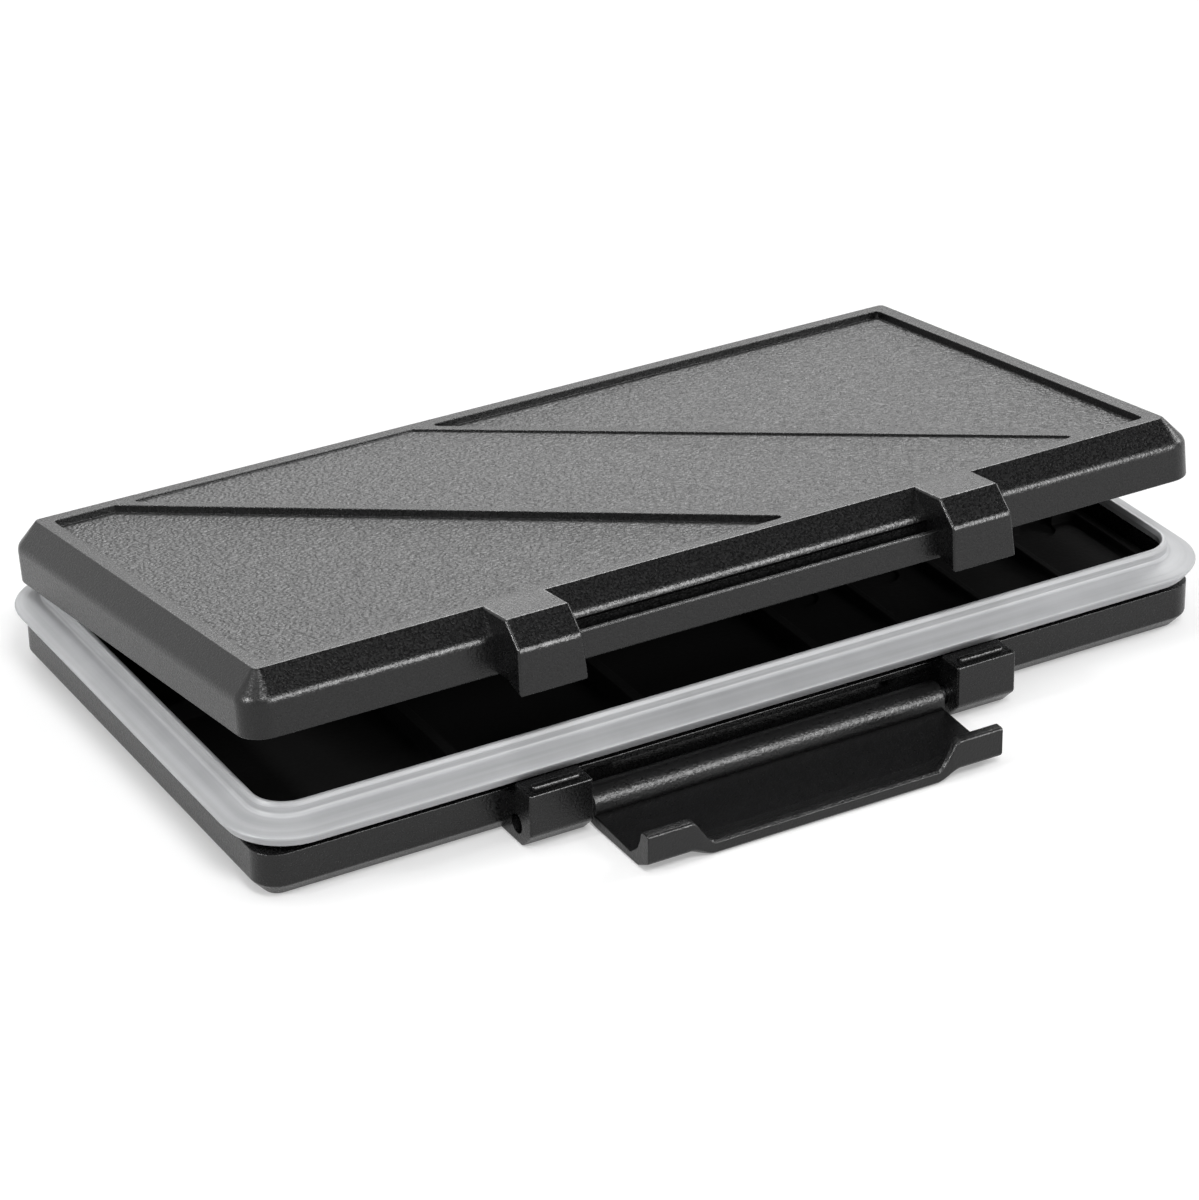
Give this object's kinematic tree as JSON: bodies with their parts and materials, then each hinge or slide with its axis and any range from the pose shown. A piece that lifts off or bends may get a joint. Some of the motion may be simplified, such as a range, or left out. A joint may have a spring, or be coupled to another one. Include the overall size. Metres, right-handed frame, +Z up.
{
  "type": "memory card wallet",
  "caption": "Shallow rectangular hard case for memory cards, with a hinged lid, a grey sealing ring, pocketed inner trays and a wide hooked latch.",
  "frame": {"origin": "middle of the case's length and depth, on the flat underside of the base", "axes": "+X along the case's length, to the right seen from the latch; +Y from the latch in front to the hinges behind; +Z up"},
  "size_m": [0.1396, 0.0967, 0.0296],
  "materials": {
    "shell": "fine moulded grain, satin",
    "latch": "satin",
    "seal": "soft matt silicone",
    "tray": "matt",
    "pin": "drawn wire"
  },
  "bodies": {
    "base": {"base_shell": "shell", "gasket_seal": "seal", "base_card_tray": "tray", "latch_pin": "pin", "hinge_pin_left": "pin", "hinge_pin_right": "pin"},
    "lid": {"lid_shell": "shell", "lid_card_tray": "tray"},
    "latch": {"latch": "latch"}
  },
  "joints": [
    {"name": "lid_hinge", "type": "hinge", "parent": "base", "child": "lid", "pos_m": [0, 0.0409, 0.0076], "axis": [-1, 0, 0], "range_deg": [-8, 142]},
    {"name": "latch_hinge", "type": "hinge", "parent": "base", "child": "latch", "pos_m": [0, -0.0388, 0.00265], "axis": [-1, 0, 0], "range_deg": [0, 90]}
  ]
}
